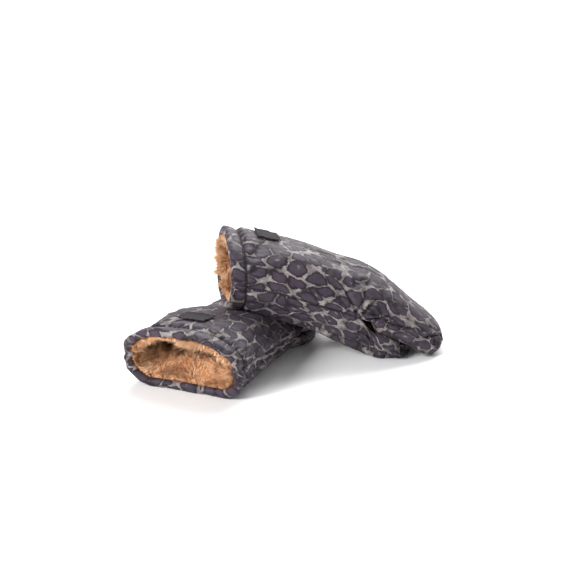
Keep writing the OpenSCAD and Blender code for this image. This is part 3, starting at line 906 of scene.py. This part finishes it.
def label(m, fields):
    """Blank woven patch, edges standing a little proud, with its stitches."""
    s0, s1, half = 35.0, 63.0, 14.0
    ns, na = 30, 34
    s, a = np.linspace(s0, s1, ns), np.linspace(90 - half, 90 + half, na)
    ss, aa = np.meshgrid(s, a, indexing="ij")
    u, v = (ss - s0) / (s1 - s0), (aa - 90) / half
    edge = np.minimum(np.minimum(u, 1 - u) * (s1 - s0), (1 - np.abs(v)) * half * 1.2)
    curl = 1.5 * np.exp(-edge / 2.2) * (0.7 + 0.5 * np.sin(ss * 0.35) * np.cos(aa * 0.4))
    rise = 0.75 + curl + 1.1 * smooth(v, 0.45, 1.0) * smooth(-u, -0.5, 0) + 0.15 * np.sin(ss * 0.8 + aa)
    # the patch is stiffer than the cloth, so it bridges the small creases
    base = section(m, ss, aa)
    soft = place(m, fields, "top", ss, aa)
    n = normals(soft)
    lift = np.percentile(np.sum((soft - base) * n, -1), 70)
    mid = base + n * lift
    over = np.maximum(np.sum((soft - mid) * n, -1), 0)
    top = mid + n * (rise + over + 0.75)[..., None]
    under = mid + n * (rise + over)[..., None]
    flat = np.stack([aa * 1.2, ss, 0 * ss], -1).reshape(-1, 3)
    ob = new_mesh(m["name"] + "_patch", np.concatenate([top.reshape(-1, 3), under.reshape(-1, 3)]),
                  closed_faces(ns, na), [("cloth", np.concatenate([flat, flat]))])
    finish_piece(ob, LABEL, m, ("label",))
    out = []
    for i in range(9):
        for j in (3, na - 4):
            r = int(2 + (ns - 7) * i / 8)
            out.append((top[r, j] + n[r, j] * 0.1, top[r + 2, j] + n[r, j] * 0.1, n[r, j]))
    for j in range(10):
        for r in (2, ns - 3):
            c = int(3 + (na - 9) * j / 9)
            out.append((top[r, c] + n[r, c] * 0.1, top[r, c + 2] + n[r, c] * 0.1, n[r, c]))
    stitch_object(m["name"] + "_patch_thread", out, m, ("label_stitching",))


def plush(m, fields, part, rng, count, dense_to, lumps):
    """Tufts of pile standing on the lining, leaning in clumps."""
    a0, end = PANEL_START[part], PANEL_END[part] - 5
    near = int(count * 0.86)            # most tufts stand where the mouth shows them
    first = 2.0 if m is UPPER else 4.5
    s = np.concatenate([first + (dense_to - first) * rng.uniform(0, 1, near) ** 1.25,
                        rng.uniform(dense_to, end - 9, count - near)])
    a = rng.uniform(0, 1, count)
    a = a0 + np.where(s > SLOT - 12, 16 + 148 * a, 0.4 + 179.2 * a)
    e = 8.0 * smooth(s, SLOT - 12, SLOT + 2) + corner(s, end + 5, ROUNDING[part])
    # the far side of the upper mouth, where the pile spills over the rim
    far = np.exp(-((a - 182) / 52) ** 2) * (1 if m is UPPER else 0)
    spill = far * smooth(-s, -10, -2)
    depth = np.where(s < 8.8, 9.3 + 0 * s, 7.6 + lumps(s, a) - 0.5 * swell(s, a))
    root = place(m, fields, part, s, a, depth, e)
    tip0 = place(m, fields, part, s, a, depth + 2, e)
    inward = tip0 - root
    inward /= np.maximum(np.linalg.norm(inward, axis=1, keepdims=True), 1e-6)
    ahead = place(m, fields, part, s + 2, a, depth, e) - root
    ahead /= np.maximum(np.linalg.norm(ahead, axis=1, keepdims=True), 1e-6)
    across = np.cross(inward, ahead)
    gs, ga = GRID_S, a0 + GRID_A
    flow = lattice(rng, gs, ga, 16, 15, 2) * 1.1 + lattice(rng, gs, ga, 6.5, 6, 2) * 0.9
    flow = Field(flow, a0)(s, a)
    height = Field(lattice(rng, gs, ga, 12, 11), a0)(s, a)
    length = rng.uniform(5.4, 8.4, count) * (1 + 0.30 * height)
    length *= 0.62 + 0.38 * smooth(s, 2, 10) + 0.35 * spill
    if m is LOWER and part == "top":
        length *= 1 + 0.25 * smooth(-s, -30, -16)
    length *= 1 - 0.45 * smooth(s, dense_to, dense_to + 30)
    lean = (-0.35 * smooth(-s, -30, -4) - 1.2 * spill
            + flow[:, 0] * 0.75 * (1 - 0.5 * spill))[:, None] * ahead
    lean = lean + (flow[:, 1] * 0.75)[:, None] * across - (0.35 * spill)[:, None] * inward
    lean = lean + rng.normal(0, 0.20, (count, 3))
    width = rng.uniform(0.34, 0.70, count)[:, None]
    twist = rng.uniform(0, 2 * math.pi, count)[:, None]
    flat = across * np.cos(twist) + ahead * np.sin(twist)
    steps = np.array([0.0, 0.36, 0.70, 1.0])
    verts, along = [], []
    for k, t in enumerate(steps):
        p = root + (inward * (t * (1 - 0.28 * t)) + lean * (t * t)) * length[:, None]
        p[:, 2] = np.maximum(p[:, 2], 1.0)
        w = width * (0.85, 1.0, 0.72, 0.0)[k]
        if k < 3:
            verts += [p - flat * w, p + flat * w]
            along += [t, t]
        else:
            verts.append(p)
            along.append(t)
    verts = np.stack(verts, 1)
    base = np.arange(count)[:, None] * 7
    quads = np.concatenate([base + [0, 1, 3, 2], base + [2, 3, 5, 4]])
    tris = base + [4, 5, 6]
    tone = np.clip(0.5 + 0.35 * height + rng.normal(0, 0.22, count), 0, 1)
    # the "deep" attribute marks where the plush is painted near black as shade inside the slots
    ob = new_mesh(f"{m['name']}_{part}_pile", verts.reshape(-1, 3), quads.tolist() + tris.tolist(),
                  [("along", np.tile(along, count)), ("tone", np.repeat(tone, 7)),
                   ("deep", np.repeat(smooth(s, SLOT_SHADE_FROM, SLOT_SHADE_TO), 7))])
    finish_piece(ob, PLUSH, m, bend=part == "top")


def studs(m):
    """The press studs stay as the CAD has them, in metal."""
    for n in ("stud_balls", "stud_sockets"):
        node = frame["nodes"][f"{m['name']}_{n}"]
        node.data.materials.clear()
        node.data.materials.append(METAL)


def bend_line(m):
    """Two points on the line across which the flap bends, along the panel."""
    fold = 4            # the station where the side seams stop
    t, e = np.array(m["top"][fold], float), np.array(m["top_edge"][fold], float)
    mid, v = (t + e) / 2, t - e
    d = np.array([v[1], -v[0]]) / np.linalg.norm(v)
    w = math.radians(m["yaw"])

    def world(q):
        return (MM * (m["centre"][0] + q[0] * math.cos(w)),
                MM * (m["centre"][1] + q[0] * math.sin(w)), MM * q[1])
    reach = m["bend_reach"]
    return world(mid - d * reach), world(mid + d * reach)


for seed, m in ((11, LOWER), (23, UPPER)):
    rng = np.random.default_rng(seed)
    m["bend"] = bend_line(m)
    fields = make_fields(m, rng)
    for part in ("top", "bottom"):
        end, a0 = PANEL_END[part], PANEL_START[part]
        cover(m, fields, part)
        nodes = ("top_wadding", "flap_wadding") if part == "top" else ("bottom_wadding",)
        slab(m, fields, part, f"{m['name']}_{part}_fill", HEM + 2.2, end - 4.5, 1.7, 4.4, 90, 70, WADDING,
             nodes, inset=6.5)
        lump = Field(lattice(rng, GRID_S, GRID_A, 9, 9)
                     + 0.5 * lattice(rng, GRID_S, GRID_A, 4, 4), 0.0)
        nodes = ("top_lining", "flap_lining") if part == "top" else ("bottom_lining",)
        loft = {"top": 1.5, "bottom": 22.5}[part] if m is LOWER else 0.0
        tuft = Field(lattice(rng, GRID_S, GRID_A, 17, 16), 0.0)

        def lumps(s, a, f=lump, g=tuft, z=a0, high=loft):
            """Extra depth of the lining: small lumps, and the loose plush of the lower cavity."""
            return 0.6 * f(s, a - z) + swell(s, a) * (high + (3.0 * g(s, a - z) if high > 9 else 0))
        slab(m, fields, part, f"{m['name']}_{part}_plush", 8.8, end - 4.0, 5.6, 8.4, 150, 100, PLUSH_BASE,
             nodes, lumps=lumps, inset=8.0)
        count = 34000 if m is LOWER else 22000
        plush(m, fields, part, rng, count, 130.0 if m is LOWER else 50.0, lumps)
    hem(m, fields, rng)
    stitching(m, fields)
    label(m, fields)
    studs(m)

# ------------------------------------------------------------------ camera, lights, floor
az, el, dist = math.radians(20.83), math.radians(17.34), 1.745
target = np.array([0.0481, 0.0661, 0.0764])
back = np.array([math.sin(az) * math.cos(el), -math.cos(az) * math.cos(el), math.sin(el)])
cam_data = bpy.data.cameras.new("camera")
cam_data.sensor_width, cam_data.lens = 36, 92.1
cam_data.clip_start, cam_data.clip_end = 0.05, 50
cam = add_object("camera", cam_data)
right = np.array([math.cos(az), math.sin(az), 0])
up = np.cross(back, right)
place_at = target + back * dist
cam.matrix_world = Matrix([[right[i], up[i], back[i], place_at[i]] for i in range(3)] + [[0, 0, 0, 1]])
bpy.context.scene.camera = cam

reach = 14.0
floor_mesh = bpy.data.meshes.new("floor")
floor_mesh.from_pydata([(-reach, -reach, 0), (reach, -reach, 0), (reach, reach, 0), (-reach, reach, 0)],
                       [], [(0, 1, 2, 3)])
floor = add_object("floor", floor_mesh)
pale = Nodes("floor")
pale.set(Base_Color=(0.93, 0.93, 0.935, 1), Roughness=0.8, Specular_IOR_Level=0.1)
floor_mesh.materials.append(pale.mat)


def area(name, at, aim, width, power):
    """Round soft light at one place, turned to another."""
    data = bpy.data.lights.new(name, "AREA")
    data.shape, data.size, data.energy = "DISK", width, power
    ob = add_object(name, data)
    z = np.array(at, float) - np.array(aim, float)
    z /= np.linalg.norm(z)
    x = np.cross((0, 0, 1.0), z)
    x /= np.linalg.norm(x)
    y = np.cross(z, x)
    ob.matrix_world = Matrix([[x[i], y[i], z[i], at[i]] for i in range(3)] + [[0, 0, 0, 1]])


area("key", (-0.70, -1.60, 1.05), (0.04, 0.0, 0.06), 0.7, 44)
area("top", (-0.35, 0.55, 1.7), (0.05, 0.05, 0.05), 1.0, 11)
area("fill", (1.3, -1.3, 0.8), (0.05, 0.05, 0.06), 1.2, 2)
area("backdrop", (0.0, 4.0, 3.0), (0.0, 3.6, 0.0), 4.5, 420)

world = bpy.data.worlds.new("world")
bpy.context.scene.world = world
world.use_nodes = True
world.node_tree.nodes["Background"].inputs[0].default_value = (1, 1, 1, 1)
world.node_tree.nodes["Background"].inputs[1].default_value = 0.38
bpy.context.scene.view_settings.view_transform = "Standard"
